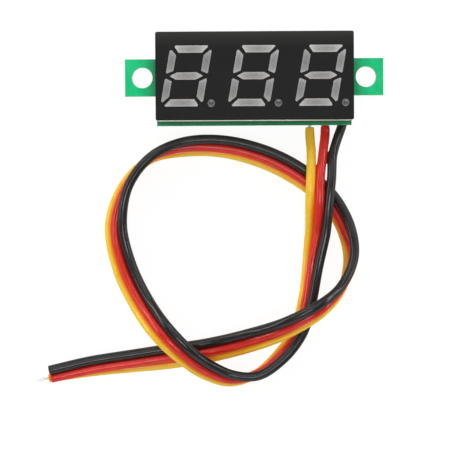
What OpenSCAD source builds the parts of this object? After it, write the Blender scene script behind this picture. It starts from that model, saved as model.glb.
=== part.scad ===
// Three-digit LED panel meter: a display module on a small circuit board with
// two mounting ears, the measuring circuit on the rear of the board, and a
// three-core ribbon lead tied in one loose overhand knot.
// The meter lies on its rear parts with the digits facing +Z. The origin is on
// the surface below it, under the middle of the board.

/* [Circuit board] */
// Width of the board without its ears
board_w = 22.6; // [22.6:0.1:23]
// Height of the board
board_h = 10.9; // [10.7:0.1:11.5]
// Thickness of the board
board_t = 1; // [0.8:0.1:1]
// Overall length across both ears
ear_span = 30; // [29.5:0.5:32]
// Height of each ear
ear_h = 4.3; // [3.7:0.2:5.1]
// Distance between the two mounting holes
hole_pitch = 26; // [25.5:0.5:26.5]
// Diameter of the mounting holes
hole_d = 2.4; // [2:0.1:2.6]

/* [Display] */
// Width of the display housing
display_w = 22.4; // [22.3:0.1:22.6]
// Height of the display housing
display_h = 10; // [9.8:0.1:10.2]
// Depth of the display housing without its feet
display_t = 6.1; // [5.6:0.1:7]
// Height of one digit
digit_h = 6.9; // [6.6:0.05:7.1]
// Width of one digit across its upright bars
digit_w = 4.79; // [4.6:0.01:4.9]
// Distance from one digit to the next
digit_pitch = 7.58; // [7.5:0.01:7.6]
// Width of a light bar
bar_w = 0.86; // [0.7:0.02:0.9]
// Lean of the digits to the right, in degrees
slant = 10; // [0:1:12]
// Diameter of a decimal point
dot_d = 0.89; // [0.7:0.01:1]

/* [Rear parts] */
// Depth of the rear parts behind the board
rear_t = 1.6; // [1.6:0.1:2]
// Angle of the trimmer's rotor
trim_angle = 35; // [-120:5:120]

/* [Lead] */
// Diameter of one insulated core
core_d = 1.06; // [0.9:0.01:1.08]
// Distance between neighbouring cores of the ribbon
core_pitch = 1.11; // [1.11:0.01:1.2]
// Diameter of the bare conductor
conductor_d = 0.45; // [0.3:0.05:0.5]

/* [Hidden] */
$fn = 32;
EPS = 0.01;

// Levels
board_rear = rear_t;
board_front = board_rear + board_t;
foot_t = 0.3;
housing_z = board_front + foot_t;
face_z = housing_z + display_t;
ear_y = 0.15;
display_y = 0.06;

// Display housing, and the black mask printed thick over its front
housing_r = 0.25;
mask_t = 0.05;
recess_wall = 0.6;
display_board_t = 0.9;
led_z = housing_z + 0.3 + display_board_t;
housing_top = face_z - mask_t;
bar_z = face_z - 0.03;
well_taper = 0.6;
die_w = 0.3;
die_t = 0.15;
first_digit_x = -digit_pitch - 0.12;
dot_x = 2.79;
dot_y = -3.07;

// Display pins: six in the upper row and five in the lower one
pin_pitch = 2.54;
pin_row = 4;
pin_w = 0.45;
pin_z = 0.6;
pin_hole_d = 0.8;
pin_places = concat(
    [for (i = [0:5]) [(i - 2.5) * pin_pitch, display_y + pin_row]],
    [for (i = [0:4]) [(i - 2.5) * pin_pitch, display_y - pin_row]]
);

// Controller: 16 leads, 1.27 apart
mcu_w = 9.9;
mcu_h = 3.9;
mcu_t = 1.45;
mcu_span = 6;
mcu_pitch = 1.27;
mcu_lead_w = 0.4;
mcu_lead_t = 0.18;
dimple_d = 0.9;
dimple_t = 0.1;

// Regulator, diode and trimmer
regulator_place = [8.6, 1.9];
regulator_w = 4.5;
regulator_h = 2.5;
diode_place = [8.5, -1.9];
diode_w = 2.7;
diode_h = 1.6;
diode_t = 1.15;
trimmer_place = [-9.2, 0.15];
trimmer_w = 3.3;
trimmer_well_d = 2.5;
rotor_d = 2.4;
rotor_t = 0.65;
rotor_top = 0.8;
post_d = 0.6;
rotor_bore_d = 0.7;

// Chip parts: place and turn of each
chip_w = 1.6;
chip_h = 0.8;
resistor_t = 0.45;
resistors = [
    [-6.2, 2, 90], [-6.2, 0.15, 90], [-6.2, -1.7, 90],
    [5.65, 1.9, 90], [5.65, -0.1, 90],
    [-9.2, 3, 0], [-9.2, -2.75, 0]
];
capacitor_w = 2;
capacitor_h = 1.25;
capacitor_t = 0.9;
capacitors = [[-9.2, 4.4, 0], [-9.2, -4.2, 0], [5.8, -2.3, 90]];

// Lead. The cores leave their pads side by side, each along its own start.
pad_t = 0.05;
pad_y = -4.3;
tail_strip = 1.6;
yellow_extra = 0.4;
black_start = [
    [10.4, -5.1, 1], [10.2, -5.7, 1], [9.7, -7, 1.6], [9.1, -8.9, 2.7],
    [8.9, -11.6, 3.5], [8.6, -14.5, 3.4]
];
red_start = [
    [8.3, -5.55, 1], [8.3, -6.1, 1], [8, -8.4, 2.4], [7.6, -11.6, 3.5], [7.55, -14.5, 3.4]
];
yellow_start = [
    [6.5, -5.75, 1], [6.5, -6.3, 1], [6.6, -8.6, 2.4], [6.5, -11.6, 3.5],
    [6.4, -14.5, 3.1]
];

// Route of the middle core: x, y and z, then how far the ribbon is turned up
// on edge from lying flat, in degrees, on the black and on the yellow side
ROUTE = [
    [7.35, -18, 2.2, 34, 30],
    [6.65, -22, 1.6, 48, 60],
    [6.05, -26, 1.6, 58, 65],
    [5.05, -29.45, 1.7, 60, 68],
    [2.8, -32.6, 1.7, 70, 74],
    [0.1, -34.6, 1.7, 86, 92],
    [-2.9, -35.1, 1.8, 125, 115],
    [-5.7, -34.05, 2.7, 145, 125],
    [-8.2, -32.1, 3.9, 147, 134],
    [-10.55, -29.75, 4.2, 155, 144],
    [-13.5, -25.9, 2.1, 160, 144],
    [-15.5, -21.65, 1.4, 160, 140],
    [-16.3, -16.9, 1.5, 140, 132],
    [-14.75, -12.3, 1.7, 96, 118],
    [-12, -9, 1.7, 88, 80],
    [-8.4, -7.95, 1.5, 56, 60],
    [-4.2, -7.95, 1.5, 36, 57],
    [0.2, -8.9, 1.5, 32, 50],
    [4.4, -10.9, 1.5, 24, 53],
    [8.2, -13.9, 1.5, 29, 60],
    [10.4, -17.4, 1.6, 46, 72],
    [11.5, -21, 1.7, 90, 59],
    [10, -24.4, 2.9, 101, 100],
    [7.5, -26.75, 4.8, 124, 117],
    [4.1, -28.7, 4.6, 137, 128],
    [-0.6, -30.6, 2.3, 152, 138],
    [-5.2, -31.85, 1.4, 164, 138],
    [-10, -32.55, 1.4, 165, 142],
    [-14.5, -33.2, 1.6, 165, 125],
    [-19.2, -33.9, 1.7, 163, 110],
    [-23.9, -34.9, 1.7, 155, 92]
];

// Unit vector, the direction of a path at one of its points, and a path's
// sideways direction there, level with the ground
function unit(v) = v / norm(v);
function along(path, i) =
    unit(path[min(i + 1, len(path) - 1)] - path[max(i - 1, 0)]);
function at(row) = [row[0], row[1], row[2]];
function leftward(t) = unit([-t[1], t[0], 0]);

// Centre of the core beside the middle one: side is 1 for black, -1 for yellow
function beside(i, side) =
    let (
        path = [for (row = ROUTE) [row[0], row[1], 0]],
        turn = side > 0 ? ROUTE[i][3] : ROUTE[i][4],
        left = leftward(along(path, i))
    )
    at(ROUTE[i]) + side * core_pitch * (cos(turn) * left + [0, 0, sin(turn)]);

// A path with its last point moved on along its last stretch
function longer(path, d) =
    let (n = len(path) - 1)
    [for (i = [0:n]) i < n ? path[i] : path[n] + d * along(path, n)];

black_path = concat(black_start, [for (i = [0:len(ROUTE) - 1]) beside(i, 1)]);
red_path = concat(red_start, [for (row = ROUTE) at(row)]);
yellow_path = longer(
    concat(yellow_start, [for (i = [0:len(ROUTE) - 1]) beside(i, -1)]), yellow_extra
);

// Rectangle with round corners, about the origin
module round_rect(w, h, r) {
    square([w - 2 * r, h], center = true);
    square([w, h - 2 * r], center = true);
    for (x = [-1, 1], y = [-1, 1])
        translate([x * (w / 2 - r), y * (h / 2 - r)]) circle(r);
}

// Block about a point, standing on the given level
module block(place, size, z) {
    translate([place[0] - size[0] / 2, place[1] - size[1] / 2, z]) cube(size);
}

// Outlines of the seven bars of an upright digit, about its middle
half_w = digit_w / 2;
half_h = digit_h / 2;
inner = half_w - bar_w;
function level_bar(y, s) = [
    [-half_w + 0.57, y], [half_w - 0.57, y], [half_w - 0.49, y - s * 0.18],
    [inner - 0.21, y - s * bar_w], [-inner + 0.21, y - s * bar_w],
    [-half_w + 0.49, y - s * 0.18]
];
function upright_bar(s, t) = [
    [s * half_w, t * (half_h - 0.63)], [s * (half_w - 0.19), t * (half_h - 0.47)],
    [s * inner, t * (half_h - 1.1)], [s * inner, t * 0.57],
    [s * (half_w - 0.12), t * 0.26], [s * half_w, t * 0.38]
];
middle_bar = [
    [-inner - 0.4, 0], [-inner + 0.41, bar_w / 2], [inner - 0.41, bar_w / 2],
    [inner + 0.4, 0], [inner - 0.41, -bar_w / 2], [-inner + 0.41, -bar_w / 2]
];
bars = [
    level_bar(half_h, 1), level_bar(-half_h, -1), middle_bar,
    upright_bar(-1, 1), upright_bar(1, 1), upright_bar(-1, -1), upright_bar(1, -1)
];

// A bar's outline leant over and moved to its digit, and the middle of it
function lean(p, digit) = [
    p[0] + tan(slant) * p[1] + first_digit_x + digit * digit_pitch,
    p[1] + display_y
];
function outline(digit, bar) = [for (p = bars[bar]) lean(p, digit)];
function middle(points) = [for (k = [0, 1]) ([for (p = points) p[k]] * [for (p = points) 1])
    / len(points)];
function dot_place(digit) =
    [first_digit_x + digit * digit_pitch + dot_x, display_y + dot_y];

// Solid between an outline at one level and the same outline, drawn in
// towards its middle, at a lower one
module tapered(points, z0, z1) {
    n = len(points);
    c = middle(points);
    low = [for (p = points) [each c + (p - c) * well_taper, z0]];
    high = [for (p = points) [p[0], p[1], z1]];
    polyhedron(
        points = concat(low, high),
        faces = concat(
            [[for (i = [0:n - 1]) i]],
            [[for (i = [n - 1:-1:0]) n + i]],
            [for (i = [0:n - 1]) [i, n + i, n + (i + 1) % n, (i + 1) % n]]
        )
    );
}

// The funnel behind one bar. A mirrored outline runs the other way round, and
// is turned back here.
module light_well(digit, bar, z0, z1) {
    points = outline(digit, bar);
    a = points[1] - points[0];
    b = points[2] - points[1];
    clockwise = a[0] * b[1] - a[1] * b[0] < 0;
    n = len(points);
    tapered(clockwise ? [for (i = [n - 1:-1:0]) points[i]] : points, z0, z1);
}

module dies() {
    for (digit = [0:2]) {
        for (bar = [0:6])
            block(middle(outline(digit, bar)), [die_w, die_w, die_t], led_z);
        block(dot_place(digit), [die_w, die_w, die_t], led_z);
    }
}

// Moulded case: four walls, a roof over the display's board and 24 light wells
module display_housing() {
    color("#e2e0d8") difference() {
        union() {
            translate([0, display_y, housing_z])
                linear_extrude(housing_top - housing_z)
                    round_rect(display_w, display_h, housing_r);
            for (x = [-1, 1], y = [-1, 1])
                block([x * 10.4, display_y + y * 4.2], [1, 1, foot_t + EPS], board_front);
        }
        block([0, display_y], [display_w - 2 * recess_wall, display_h - 2 * recess_wall,
            led_z - housing_z + EPS], housing_z - EPS);
        for (digit = [0:2]) {
            for (bar = [0:6])
                light_well(digit, bar, led_z - EPS, face_z + EPS);
            translate([each dot_place(digit), led_z - EPS])
                cylinder(d = dot_d, h = face_z - led_z + 2 * EPS);
        }
    }
}

// Black mask over the front of the case, open at every bar and decimal point
module face_mask() {
    color("#262626") translate([0, 0, housing_top]) linear_extrude(mask_t)
        difference() {
            translate([0, display_y]) round_rect(display_w, display_h, housing_r);
            for (digit = [0:2]) {
                for (bar = [0:6]) polygon(outline(digit, bar));
                translate(dot_place(digit)) circle(d = dot_d);
            }
        }
}

module light_bars() {
    color("#b4b4b0") difference() {
        intersection() {
            for (digit = [0:2], bar = [0:6])
                light_well(digit, bar, led_z - EPS, face_z + EPS);
            block([0, display_y], [display_w, display_h, bar_z - led_z], led_z);
        }
        dies();
    }
}

module decimal_points() {
    color("#6e6e6e") difference() {
        for (digit = [0:2])
            translate([each dot_place(digit), led_z])
                cylinder(d = dot_d, h = bar_z - led_z);
        dies();
    }
}

module display_board() {
    color("#e8e4d4")
        block([0, display_y], [display_w - 2 * recess_wall - 0.1,
            display_h - 2 * recess_wall - 0.1, display_board_t], led_z - display_board_t);
}

module led_dies() {
    color("#c8a070") dies();
}

module display_pins() {
    color("#c0c0c0") for (p = pin_places)
        block(p, [pin_w, pin_w, led_z - display_board_t - pin_z], pin_z);
}

module circuit_board() {
    color("#14a86a") difference() {
        translate([0, 0, board_rear]) linear_extrude(board_t) {
            square([board_w, board_h], center = true);
            translate([0, ear_y]) square([ear_span, ear_h], center = true);
        }
        for (x = [-1, 1])
            translate([x * hole_pitch / 2, ear_y, board_rear - EPS])
                cylinder(d = hole_d, h = board_t + 2 * EPS);
        for (p = pin_places)
            translate([each p, board_rear - EPS])
                cylinder(d = pin_hole_d, h = board_t + 2 * EPS);
    }
}

// Solder cones round the display's pins, standing on the rear of the board
module pin_solder() {
    cone_t = 0.7;
    color("#b8bcc0") for (p = pin_places)
        difference() {
            translate([each p, board_rear - cone_t])
                cylinder(d1 = 0.75, d2 = 1.3, h = cone_t);
            block(p, [pin_w, pin_w, cone_t + 2 * EPS], board_rear - cone_t - EPS);
        }
}

// Moulded body with bevelled edges and a round dimple at the first lead
module controller_body() {
    bevel = 0.25;
    seam = mcu_t * 0.5;
    color("#1e1e20") difference() {
        translate([0, display_y, 0]) rotate([90, 0, 90])
            translate([0, 0, -mcu_w / 2]) linear_extrude(mcu_w) polygon([
                [-mcu_h / 2 + bevel, 0], [mcu_h / 2 - bevel, 0], [mcu_h / 2, seam],
                [mcu_h / 2 - bevel / 2, mcu_t], [-mcu_h / 2 + bevel / 2, mcu_t],
                [-mcu_h / 2, seam]
            ]);
        translate([dimple_d - mcu_w / 2, display_y + mcu_h / 2 - bevel - dimple_d * 0.75, -EPS])
            cylinder(d = dimple_d, h = dimple_t + EPS);
    }
}

// One gull-wing lead, from the seam of the body out and onto the board
module gull_lead(x, s) {
    seam = mcu_t * 0.5;
    t = mcu_lead_t;
    out = mcu_span / 2;
    root = mcu_h / 2;
    color("#c8ccd0") translate([x - mcu_lead_w / 2, display_y, 0]) mirror([0, s < 0 ? 1 : 0, 0])
        rotate([90, 0, 90]) linear_extrude(mcu_lead_w) polygon([
            [root - t * 0.16, seam + t], [root, seam], [root + 0.35, seam],
            [root + 0.55, board_rear - t], [out, board_rear - t], [out, board_rear],
            [root + 0.4, board_rear], [root + 0.2, seam + t]
        ]);
}

module controller_leads() {
    for (i = [0:7], s = [-1, 1])
        gull_lead((i - 3.5) * mcu_pitch, s);
}

module regulator_body() {
    bevel = 0.15;
    half = regulator_h / 2;
    color("#222224") translate([each regulator_place, 0]) rotate([90, 0, 90])
        translate([0, 0, -regulator_w / 2]) linear_extrude(regulator_w) polygon([
            [-half + bevel, 0], [half - bevel, 0], [half, board_rear - 0.4],
            [half, board_rear], [-half, board_rear], [-half, board_rear - 0.4]
        ]);
}

module regulator_tabs() {
    tab_t = 0.4;
    half = regulator_h / 2;
    color("#c8ccd0") {
        for (x = [-1.5, 0, 1.5])
            block(regulator_place + [x, -half - 0.45], [0.45, 0.9, tab_t], board_rear - tab_t);
        block(regulator_place + [0, half + 0.3], [1.7, 0.6, tab_t], board_rear - tab_t);
    }
}

module diode_body() {
    color("#2a2a2c") block(diode_place, [diode_w, diode_h, diode_t], board_rear - diode_t);
}

module diode_tabs() {
    color("#c8ccd0") for (s = [-1, 1])
        block(diode_place + [s * (diode_w / 2 + 0.25), 0], [0.5, 0.9, 0.2], board_rear - 0.2);
}

// Square base with a round well and a central post that carries the rotor
module trimmer_base() {
    color("#e6e2d6") difference() {
        block(trimmer_place, [trimmer_w, trimmer_w, board_rear], 0);
        translate([each trimmer_place, -EPS])
            difference() {
                cylinder(d = trimmer_well_d, h = rotor_top + EPS);
                translate([0, 0, 0.15]) cylinder(d = post_d, h = rotor_top);
            }
    }
}

// Adjusting disc with a cross slot in its outer face
module trimmer_rotor() {
    slot_w = 0.35;
    slot_l = 1.9;
    color("#d0b060") translate([each trimmer_place, rotor_top - rotor_t])
        rotate([0, 0, trim_angle]) difference() {
            cylinder(d = rotor_d, h = rotor_t - 0.02);
            translate([0, 0, -EPS]) cylinder(d = rotor_bore_d, h = rotor_t);
            for (a = [0, 90])
                rotate([0, 0, a]) block([0, 0], [slot_l, slot_w, 0.3], -EPS);
        }
}

module trimmer_tabs() {
    color("#c8ccd0") {
        for (x = [-1, 1])
            block(trimmer_place + [x, -trimmer_w / 2 - 0.2], [0.7, 0.4, 0.5], board_rear - 0.5);
        block(trimmer_place + [0, trimmer_w / 2 + 0.2], [1.2, 0.4, 0.5], board_rear - 0.5);
    }
}

// Middle or both metal ends of a chip part
module chip(rows, w, h, t, end_w, ends) {
    for (row = rows)
        translate([row[0], row[1], board_rear - t]) rotate([0, 0, row[2]])
            if (ends)
                for (s = [-1, 1])
                    block([s * (w - end_w) / 2, 0], [end_w, h, t], 0);
            else
                block([0, 0], [w - 2 * end_w, h, t], 0);
}

module resistor_bodies() {
    color("#1c1c1e") chip(resistors, chip_w, chip_h, resistor_t, 0.3, false);
}

module resistor_ends() {
    color("#c8ccd0") chip(resistors, chip_w, chip_h, resistor_t, 0.3, true);
}

module capacitor_bodies() {
    color("#b08a5c") chip(capacitors, capacitor_w, capacitor_h, capacitor_t, 0.45, false);
}

module capacitor_ends() {
    color("#c8ccd0") chip(capacitors, capacitor_w, capacitor_h, capacitor_t, 0.45, true);
}

// The starts of the three cores, and the turn of each from straight down the page
starts = [yellow_start, red_start, black_start];
function start_turn(start) =
    atan2(start[1][0] - start[0][0], start[0][1] - start[1][1]);

// Bare conductor from a core's cut end back over its pad
module bare_start(start, d) {
    reach = (pad_y + 0.3 - start[0][1]) / cos(start_turn(start));
    translate(start[0]) rotate([-90, 0, start_turn(start)]) cylinder(d = d, h = reach);
}

module wire_pads() {
    color("#c88a4a") for (start = starts)
        block([start[0][0], pad_y], [1.3, 1.6, pad_t], board_rear - pad_t);
}

module wire_solder() {
    blob_r = 0.68;
    color("#b8bcc0") for (start = starts)
        difference() {
            intersection() {
                translate([start[0][0], pad_y, 1.2]) sphere(blob_r);
                block([start[0][0], pad_y], [2, 2, board_rear - pad_t], 0);
            }
            bare_start(start, conductor_d);
        }
}

module wire_conductors() {
    color("#c8ccd0") for (start = starts) bare_start(start, conductor_d);
}

// Round core swept along a path of points, with flat ends
module core(path) {
    sides = 8;
    n = len(path);
    rings = [for (i = [0:n - 1])
        let (t = along(path, i), side = leftward(t), up = cross(t, side))
        for (k = [0:sides - 1])
            path[i] + core_d / 2 * (cos(k * 360 / sides) * side + sin(k * 360 / sides) * up)];
    walls = [for (i = [0:n - 2], k = [0:sides - 1])
        let (a = i * sides + k, b = i * sides + (k + 1) % sides)
        each [[a, b, b + sides], [a, b + sides, a + sides]]];
    polyhedron(
        points = rings,
        faces = concat(
            [[for (k = [sides - 1:-1:0]) k]],
            walls,
            [[for (k = [0:sides - 1]) (n - 1) * sides + k]]
        )
    );
}

module wire_yellow() {
    color("#f2c22e") core(yellow_path);
}

module wire_red() {
    color("#d83a30") core(red_path);
}

module wire_black() {
    color("#2e3030") core(black_path);
}

// Stripped end of the yellow core, in line with its last stretch
module tail_conductor() {
    n = len(yellow_path) - 1;
    t = along(yellow_path, n);
    color("#c8ccd0") translate(yellow_path[n]) rotate([0, acos(t[2]), atan2(t[1], t[0])])
        cylinder(d = conductor_d, h = tail_strip);
}

display_housing();
face_mask();
light_bars();
decimal_points();
display_board();
led_dies();
display_pins();
circuit_board();
pin_solder();
controller_body();
controller_leads();
regulator_body();
regulator_tabs();
diode_body();
diode_tabs();
trimmer_base();
trimmer_rotor();
trimmer_tabs();
resistor_bodies();
resistor_ends();
capacitor_bodies();
capacitor_ends();
wire_pads();
wire_solder();
wire_conductors();
wire_yellow();
wire_red();
wire_black();
tail_conductor();
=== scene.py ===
"""Looks of a three-digit LED panel meter with a knotted three-core ribbon lead.

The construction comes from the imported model. This script gives each piece its finish, and stands
finer meshes in for the display case and its mask, its light bars and decimal points, the cores of
the lead and their bare strands. Sizes are in millimetres and turn into metres where a mesh is
made. Only the stage is in metres.
"""

import math
import random

import bmesh
import bpy
import numpy as np
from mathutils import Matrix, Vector
from mathutils.geometry import tessellate_polygon


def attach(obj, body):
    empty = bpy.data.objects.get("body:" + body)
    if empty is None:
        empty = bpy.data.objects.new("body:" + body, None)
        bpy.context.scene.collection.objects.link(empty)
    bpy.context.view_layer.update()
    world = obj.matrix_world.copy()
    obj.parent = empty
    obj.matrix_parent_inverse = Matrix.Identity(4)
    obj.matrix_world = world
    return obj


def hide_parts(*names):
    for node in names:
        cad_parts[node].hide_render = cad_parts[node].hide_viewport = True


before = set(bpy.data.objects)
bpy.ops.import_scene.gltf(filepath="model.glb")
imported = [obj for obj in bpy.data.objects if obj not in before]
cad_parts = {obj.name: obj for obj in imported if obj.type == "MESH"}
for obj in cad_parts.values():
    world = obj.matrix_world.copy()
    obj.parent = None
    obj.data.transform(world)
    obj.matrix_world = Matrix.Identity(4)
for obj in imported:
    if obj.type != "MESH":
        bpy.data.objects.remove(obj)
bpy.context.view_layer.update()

MM = 0.001
BODY = "meter"

# ---------------------------------------------------------------- display
DISPLAY_W = 22.4
DISPLAY_H = 10.0
DISPLAY_Y = 0.06
CASE_Z = 2.9
FACE_Z = 9.0
CORNER_R = 0.25
CORNER_STEPS = 6
MASK_T = 0.05
EDGE_STEPS = 3
RECESS_WALL = 0.6
ROOF_Z = 4.1
FOOT = 1.0
FOOT_H = 0.3
FOOT_JOIN = 0.02
FOOT_X = 10.4
FOOT_Y = 4.2
DIGIT_H = 6.9
DIGIT_W = 4.79
DIGIT_PITCH = 7.58
FIRST_DIGIT_X = -7.70
BAR_W = 0.86
BAR_CORNER = 0.09
SLANT = math.radians(10)
DOT_R = 0.445
DOT_SIDES = 32
DOT_X = 2.79
DOT_Y = -3.07
WELL_TAPER = 0.6
REAR_EDGE_R = 0.05
CASE_TOP = FACE_Z - MASK_T
# The narrow gap round the resin of a bar: its width and its depth.
MOAT_W = 0.02
MOAT_T = 0.05

# How the resin of a bar is dished: distance in from its edge, drop below the face, and how far it
# has the colour of the rim.
BAR_DISH = [(0.06, 0.04, 0.9), (0.13, 0.055, 0.4), (0.26, 0.065, 0)]
BAR_DISH_CORNER = 0.8 * BAR_CORNER
# How pale a bar is, from 0 to 1, and how far single bars differ from that.
TOP_BAR_TONE = 0.7
LEVEL_BAR_TONE = 0.44
UPRIGHT_BAR_TONE = 0.2
TONE_SPREAD = 0.12
# Each bar takes its streaks from its own stretch of the pattern.
STREAK_SHIFT = 50
BAR_SEED = 7
# The ring and the dimple of a decimal point: share of its radius, drop below the face, and how far
# it has the colour of the rim.
DOT_PROFILE = [
    (0.95, 0.05, 1), (0.86, 0.042, 1), (0.66, 0.04, 0.9), (0.54, 0.055, 0.3), (0.3, 0.08, 0),
    (0.12, 0.085, 0.05),
]
DOT_MIDDLE_RIM = 0.1

# ---------------------------------------------------------------- lead
CORE_R = 0.545
CORE_PITCH = 1.11
CONDUCTOR_R = 0.225
CORE_SIDES = 48
CURVE_STEPS = 12
RING_STEP = 0.25
YELLOW_EXTRA = 0.4

# The web that joins two neighbours: its width as an angle, how far its halves run into each other,
# the distance between centres up to which it holds, and how many rings either way are searched.
WEB_ANGLE = 0.16
WEB_OVERLAP = 0.02
WEB_REACH = 1.19
WEB_SEARCH = 20
# How unevenly a core is drawn: a share of its radius, and the rates of two waves along it. Then
# how much its end has shrunk, and over what length.
WAVER = 0.006
WAVES = (1.3, 0.47)
END_TAPER = 0.10
END_REACH = 0.45
NEIGHBOURS = {"black": ["red"], "red": ["black", "yellow"], "yellow": ["red"]}

STRANDS = 7
STRAND_R = CONDUCTOR_R / 3
STRAND_LAY = 5.0
STRAND_STEPS = 12
STRAND_SIDES = 10
STRAND_SEED = 1
# The bundle is a little lower than wide.
BUNDLE_SQUASH = 0.9
# How far the strands run into the insulation, and past the middle of their pad.
STRAND_INSIDE = 0.3
PAD_Y = -4.3
PAST_PAD = 0.3
# The bore that the strands lie in, as a share of a core's radius, and the cut end round it: share
# of the radius and how far it stands out.
BORE = 1.05 * CONDUCTOR_R / CORE_R
CUT_END = [
    (0.985, 0.03), (0.94, 0.065), (0.86, 0.09), (0.72, 0.1), (BORE + 0.06, 0.1), (BORE, 0.07),
    (BORE, -0.15),
]
TAIL_STRIP = 1.6
TAIL_STRAND_R = 0.045
TAIL_SPLAY = 0.3
# How far each strand of the stripped end reaches: most have broken off short.
TAIL_REACH = [1.0, 0.42, 0.85, 0.3, 0.62, 0.36, 0.5]

# Each core leaves its pad along its own start: x, y and z.
STARTS = {
    "black": [
        [10.4, -5.1, 1], [10.2, -5.7, 1], [9.7, -7, 1.6], [9.1, -8.9, 2.7],
        [8.9, -11.6, 3.5], [8.6, -14.5, 3.4],
    ],
    "red": [
        [8.3, -5.55, 1], [8.3, -6.1, 1], [8, -8.4, 2.4], [7.6, -11.6, 3.5],
        [7.55, -14.5, 3.4],
    ],
    "yellow": [
        [6.5, -5.75, 1], [6.5, -6.3, 1], [6.6, -8.6, 2.4], [6.5, -11.6, 3.5],
        [6.4, -14.5, 3.1],
    ],
}
# Route of the middle core: x, y and z, then how far the ribbon is turned up on edge from lying
# flat, in degrees, on the black and on the yellow side.
ROUTE = [
    [7.35, -18, 2.2, 34, 30],
    [6.65, -22, 1.6, 48, 60],
    [6.05, -26, 1.6, 58, 65],
    [5.05, -29.45, 1.7, 60, 68],
    [2.8, -32.6, 1.7, 70, 74],
    [0.1, -34.6, 1.7, 86, 92],
    [-2.9, -35.1, 1.8, 125, 115],
    [-5.7, -34.05, 2.7, 145, 125],
    [-8.2, -32.1, 3.9, 147, 134],
    [-10.55, -29.75, 4.2, 155, 144],
    [-13.5, -25.9, 2.1, 160, 144],
    [-15.5, -21.65, 1.4, 160, 140],
    [-16.3, -16.9, 1.5, 140, 132],
    [-14.75, -12.3, 1.7, 96, 118],
    [-12, -9, 1.7, 88, 80],
    [-8.4, -7.95, 1.5, 56, 60],
    [-4.2, -7.95, 1.5, 36, 57],
    [0.2, -8.9, 1.5, 32, 50],
    [4.4, -10.9, 1.5, 24, 53],
    [8.2, -13.9, 1.5, 29, 60],
    [10.4, -17.4, 1.6, 46, 72],
    [11.5, -21, 1.7, 90, 59],
    [10, -24.4, 2.9, 101, 100],
    [7.5, -26.75, 4.8, 124, 117],
    [4.1, -28.7, 4.6, 137, 128],
    [-0.6, -30.6, 2.3, 152, 138],
    [-5.2, -31.85, 1.4, 164, 138],
    [-10, -32.55, 1.4, 165, 142],
    [-14.5, -33.2, 1.6, 165, 125],
    [-19.2, -33.9, 1.7, 163, 110],
    [-23.9, -34.9, 1.7, 155, 92],
]


# ================================================================ meshes
class Shell:
    """Points and faces of one mesh, in millimetres."""

    def __init__(self):
        self.points = []
        self.faces = []
        self.values = {}
        self.flat = {}

    def ring(self, points, flat=None, **values):
        """Adds points and returns their numbers. Each named value is kept for all of them, and
        flat holds each point's place on a flat map of the piece."""
        first = len(self.points)
        self.points += [tuple(p) for p in points]
        if flat is not None:
            self.flat.update(zip(range(first, len(self.points)), flat))
        for name, value in values.items():
            held = self.values.setdefault(name, {})
            for k in range(first, len(self.points)):
                held[k] = value
        return list(range(first, len(self.points)))

    def face(self, corners):
        self.faces.append(tuple(corners))

    def bridge(self, a, b):
        """Quads between two rings of the same length."""
        n = len(a)
        for k in range(n):
            self.face((a[k], a[(k + 1) % n], b[(k + 1) % n], b[k]))

    def fan(self, ring, **values):
        """Closes a ring with triangles to its middle."""
        middle = np.mean([self.points[k] for k in ring], axis=0)
        centre = self.ring([middle], **values)[0]
        for k in range(len(ring)):
            self.face((ring[k], ring[(k + 1) % len(ring)], centre))

    def plate(self, rings):
        """A flat face inside the first ring, with the other rings as its holes."""
        numbers = [k for ring in rings for k in ring]
        outlines = [[Vector(self.points[k]) for k in ring] for ring in rings]
        for corners in tessellate_polygon(outlines):
            self.face([numbers[k] for k in corners])

    def piece(self, name, sharp=40):
        """The finished mesh object, in metres. Edges over sharp degrees stay crisp."""
        mesh = bpy.data.meshes.new(name)
        mesh.from_pydata([[c * MM for c in p] for p in self.points], [], self.faces)
        for value_name, held in self.values.items():
            layer = mesh.attributes.new(value_name, "FLOAT", "POINT")
            numbers = [held.get(k, 0.0) for k in range(len(self.points))]
            layer.data.foreach_set("value", numbers)
        bm = bmesh.new()
        bm.from_mesh(mesh)
        bmesh.ops.recalc_face_normals(bm, faces=bm.faces)
        bm.to_mesh(mesh)
        bm.free()
        if self.flat:
            layer = mesh.uv_layers.new(name="flat")
            for corner in mesh.loops:
                layer.data[corner.index].uv = self.flat.get(corner.vertex_index, (0, 0))
        mesh.polygons.foreach_set("use_smooth", [True] * len(mesh.polygons))
        mesh.set_sharp_from_angle(angle=math.radians(sharp))
        made = bpy.data.objects.new(name, mesh)
        bpy.context.scene.collection.objects.link(made)
        even_normals = made.modifiers.new("even_normals", "WEIGHTED_NORMAL")
        even_normals.keep_sharp = True
        even_normals.weight = 90
        return made


def level(points, z):
    """Plane points at one height."""
    return [(p[0], p[1], z) for p in points]


def rounded(points, radius, steps=EDGE_STEPS):
    """A convex outline with each corner turned into an arc."""
    out = []
    n = len(points)
    for k in range(n):
        corner = np.array(points[k], float)
        before = np.array(points[k - 1], float) - corner
        after = np.array(points[(k + 1) % n], float) - corner
        a = before / np.linalg.norm(before)
        b = after / np.linalg.norm(after)
        half = math.acos(max(-1.0, min(1.0, float(a @ b)))) / 2
        room = 0.45 * min(np.linalg.norm(before), np.linalg.norm(after))
        reach = min(radius / math.tan(half), room)
        for step in range(steps + 1):
            t = step / steps
            start, end = corner + a * reach, corner + b * reach
            out.append(tuple((1 - t) ** 2 * start + 2 * t * (1 - t) * corner + t**2 * end))
    return out


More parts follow.
